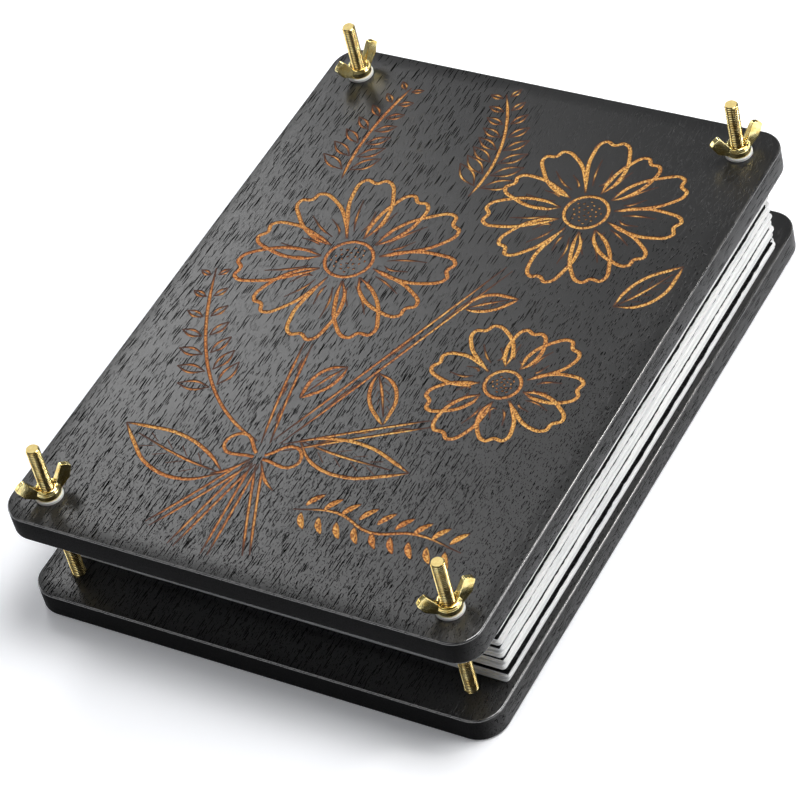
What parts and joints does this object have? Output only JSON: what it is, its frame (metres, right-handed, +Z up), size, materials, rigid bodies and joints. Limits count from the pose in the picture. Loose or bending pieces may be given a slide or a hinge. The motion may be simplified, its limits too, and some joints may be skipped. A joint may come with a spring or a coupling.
{
  "type": "flower press",
  "caption": "Wooden flower press: two boards clamp a stack of blotting sheets and corrugated dividers, held at the corners by threaded bolts with wing nuts.",
  "frame": {"origin": "centre of the underside of the bottom board, which is the bottom centre of the part's box", "axes": "+X to the right across the press, +Y along the boards' length away from the viewer's near end, +Z up along the bolts"},
  "size_m": [0.22, 0.3, 0.087],
  "materials": {
    "black_wood": "satin",
    "black_wood_engraved": "satin",
    "brass_thread": "polished",
    "brass_cast": "polished",
    "white_nylon": "satin",
    "blotting_paper": "matte",
    "black_corrugated": "matte"
  },
  "bodies": {
    "base": {"bottom_board": "black_wood", "bolt_near_left": "brass_thread", "bolt_near_right": "brass_thread", "bolt_far_left": "brass_thread", "bolt_far_right": "brass_thread"},
    "top_board": {"top_board": "black_wood_engraved", "washer_near_left": "white_nylon", "washer_near_right": "white_nylon", "washer_far_left": "white_nylon", "washer_far_right": "white_nylon"},
    "wing_nut_near_left": {"wing_nut_near_left": "brass_cast"},
    "wing_nut_near_right": {"wing_nut_near_right": "brass_cast"},
    "wing_nut_far_left": {"wing_nut_far_left": "brass_cast"},
    "wing_nut_far_right": {"wing_nut_far_right": "brass_cast"},
    "blotter_01": {"blotter_01": "blotting_paper"},
    "blotter_02": {"blotter_02": "blotting_paper"},
    "blotter_03": {"blotter_03": "blotting_paper"},
    "corrugated_1": {"corrugated_1": "black_corrugated"},
    "blotter_04": {"blotter_04": "blotting_paper"},
    "blotter_05": {"blotter_05": "blotting_paper"},
    "blotter_06": {"blotter_06": "blotting_paper"},
    "blotter_07": {"blotter_07": "blotting_paper"},
    "corrugated_2": {"corrugated_2": "black_corrugated"},
    "blotter_08": {"blotter_08": "blotting_paper"},
    "blotter_09": {"blotter_09": "blotting_paper"},
    "blotter_10": {"blotter_10": "blotting_paper"},
    "blotter_11": {"blotter_11": "blotting_paper"},
    "corrugated_3": {"corrugated_3": "black_corrugated"},
    "blotter_12": {"blotter_12": "blotting_paper"},
    "blotter_13": {"blotter_13": "blotting_paper"},
    "blotter_14": {"blotter_14": "blotting_paper"},
    "corrugated_4": {"corrugated_4": "black_corrugated"},
    "blotter_15": {"blotter_15": "blotting_paper"},
    "blotter_16": {"blotter_16": "blotting_paper"},
    "blotter_17": {"blotter_17": "blotting_paper"},
    "blotter_18": {"blotter_18": "blotting_paper"},
    "blotter_19": {"blotter_19": "blotting_paper"}
  },
  "joints": [
    {"name": "board_lift", "type": "slide", "parent": "base", "child": "top_board", "axis": [0, 0, 1], "range_m": [0, 0.02]},
    {"name": "nut_turn_near_left", "type": "hinge", "parent": "top_board", "child": "wing_nut_near_left", "pos_m": [-0.0935, -0.134, 0.06065], "axis": [0, 0, 1], "range_deg": [0, 7200]},
    {"name": "nut_turn_near_right", "type": "hinge", "parent": "top_board", "child": "wing_nut_near_right", "pos_m": [0.0935, -0.134, 0.06065], "axis": [0, 0, 1], "range_deg": [0, 7200]},
    {"name": "nut_turn_far_left", "type": "hinge", "parent": "top_board", "child": "wing_nut_far_left", "pos_m": [-0.0935, 0.134, 0.06065], "axis": [0, 0, 1], "range_deg": [0, 7200]},
    {"name": "nut_turn_far_right", "type": "hinge", "parent": "top_board", "child": "wing_nut_far_right", "pos_m": [0.0935, 0.134, 0.06065], "axis": [0, 0, 1], "range_deg": [0, 7200]},
    {"name": "lift_blotter_01", "type": "slide", "parent": "base", "child": "blotter_01", "axis": [0, 0, 1], "range_m": [0, 0.000933]},
    {"name": "lift_blotter_02", "type": "slide", "parent": "base", "child": "blotter_02", "axis": [0, 0, 1], "range_m": [0, 0.00177]},
    {"name": "lift_blotter_03", "type": "slide", "parent": "base", "child": "blotter_03", "axis": [0, 0, 1], "range_m": [0, 0.0026]},
    {"name": "lift_corrugated_1", "type": "slide", "parent": "base", "child": "corrugated_1", "axis": [0, 0, 1], "range_m": [0, 0.00343]},
    {"name": "lift_blotter_04", "type": "slide", "parent": "base", "child": "blotter_04", "axis": [0, 0, 1], "range_m": [0, 0.00427]},
    {"name": "lift_blotter_05", "type": "slide", "parent": "base", "child": "blotter_05", "axis": [0, 0, 1], "range_m": [0, 0.0051]},
    {"name": "lift_blotter_06", "type": "slide", "parent": "base", "child": "blotter_06", "axis": [0, 0, 1], "range_m": [0, 0.00593]},
    {"name": "lift_blotter_07", "type": "slide", "parent": "base", "child": "blotter_07", "axis": [0, 0, 1], "range_m": [0, 0.00677]},
    {"name": "lift_corrugated_2", "type": "slide", "parent": "base", "child": "corrugated_2", "axis": [0, 0, 1], "range_m": [0, 0.0076]},
    {"name": "lift_blotter_08", "type": "slide", "parent": "base", "child": "blotter_08", "axis": [0, 0, 1], "range_m": [0, 0.00843]},
    {"name": "lift_blotter_09", "type": "slide", "parent": "base", "child": "blotter_09", "axis": [0, 0, 1], "range_m": [0, 0.00927]},
    {"name": "lift_blotter_10", "type": "slide", "parent": "base", "child": "blotter_10", "axis": [0, 0, 1], "range_m": [0, 0.0101]},
    {"name": "lift_blotter_11", "type": "slide", "parent": "base", "child": "blotter_11", "axis": [0, 0, 1], "range_m": [0, 0.01093]},
    {"name": "lift_corrugated_3", "type": "slide", "parent": "base", "child": "corrugated_3", "axis": [0, 0, 1], "range_m": [0, 0.01177]},
    {"name": "lift_blotter_12", "type": "slide", "parent": "base", "child": "blotter_12", "axis": [0, 0, 1], "range_m": [0, 0.0126]},
    {"name": "lift_blotter_13", "type": "slide", "parent": "base", "child": "blotter_13", "axis": [0, 0, 1], "range_m": [0, 0.01343]},
    {"name": "lift_blotter_14", "type": "slide", "parent": "base", "child": "blotter_14", "axis": [0, 0, 1], "range_m": [0, 0.01427]},
    {"name": "lift_corrugated_4", "type": "slide", "parent": "base", "child": "corrugated_4", "axis": [0, 0, 1], "range_m": [0, 0.0151]},
    {"name": "lift_blotter_15", "type": "slide", "parent": "base", "child": "blotter_15", "axis": [0, 0, 1], "range_m": [0, 0.01593]},
    {"name": "lift_blotter_16", "type": "slide", "parent": "base", "child": "blotter_16", "axis": [0, 0, 1], "range_m": [0, 0.01677]},
    {"name": "lift_blotter_17", "type": "slide", "parent": "base", "child": "blotter_17", "axis": [0, 0, 1], "range_m": [0, 0.0176]},
    {"name": "lift_blotter_18", "type": "slide", "parent": "base", "child": "blotter_18", "axis": [0, 0, 1], "range_m": [0, 0.01843]},
    {"name": "lift_blotter_19", "type": "slide", "parent": "base", "child": "blotter_19", "axis": [0, 0, 1], "range_m": [0, 0.01927]}
  ],
  "couplings": [
    {"joint": "nut_turn_near_left", "follows": "board_lift", "rad_per_m": 6283.2},
    {"joint": "nut_turn_near_right", "follows": "board_lift", "rad_per_m": 6283.2},
    {"joint": "nut_turn_far_left", "follows": "board_lift", "rad_per_m": 6283.2},
    {"joint": "nut_turn_far_right", "follows": "board_lift", "rad_per_m": 6283.2},
    {"joint": "lift_blotter_01", "follows": "board_lift", "ratio": 0.041667},
    {"joint": "lift_blotter_02", "follows": "board_lift", "ratio": 0.083333},
    {"joint": "lift_blotter_03", "follows": "board_lift", "ratio": 0.125},
    {"joint": "lift_corrugated_1", "follows": "board_lift", "ratio": 0.16667},
    {"joint": "lift_blotter_04", "follows": "board_lift", "ratio": 0.20833},
    {"joint": "lift_blotter_05", "follows": "board_lift", "ratio": 0.25},
    {"joint": "lift_blotter_06", "follows": "board_lift", "ratio": 0.29167},
    {"joint": "lift_blotter_07", "follows": "board_lift", "ratio": 0.33333},
    {"joint": "lift_corrugated_2", "follows": "board_lift", "ratio": 0.375},
    {"joint": "lift_blotter_08", "follows": "board_lift", "ratio": 0.41667},
    {"joint": "lift_blotter_09", "follows": "board_lift", "ratio": 0.45833},
    {"joint": "lift_blotter_10", "follows": "board_lift", "ratio": 0.5},
    {"joint": "lift_blotter_11", "follows": "board_lift", "ratio": 0.54167},
    {"joint": "lift_corrugated_3", "follows": "board_lift", "ratio": 0.58333},
    {"joint": "lift_blotter_12", "follows": "board_lift", "ratio": 0.625},
    {"joint": "lift_blotter_13", "follows": "board_lift", "ratio": 0.66667},
    {"joint": "lift_blotter_14", "follows": "board_lift", "ratio": 0.70833},
    {"joint": "lift_corrugated_4", "follows": "board_lift", "ratio": 0.75},
    {"joint": "lift_blotter_15", "follows": "board_lift", "ratio": 0.79167},
    {"joint": "lift_blotter_16", "follows": "board_lift", "ratio": 0.83333},
    {"joint": "lift_blotter_17", "follows": "board_lift", "ratio": 0.875},
    {"joint": "lift_blotter_18", "follows": "board_lift", "ratio": 0.91667},
    {"joint": "lift_blotter_19", "follows": "board_lift", "ratio": 0.95833}
  ]
}
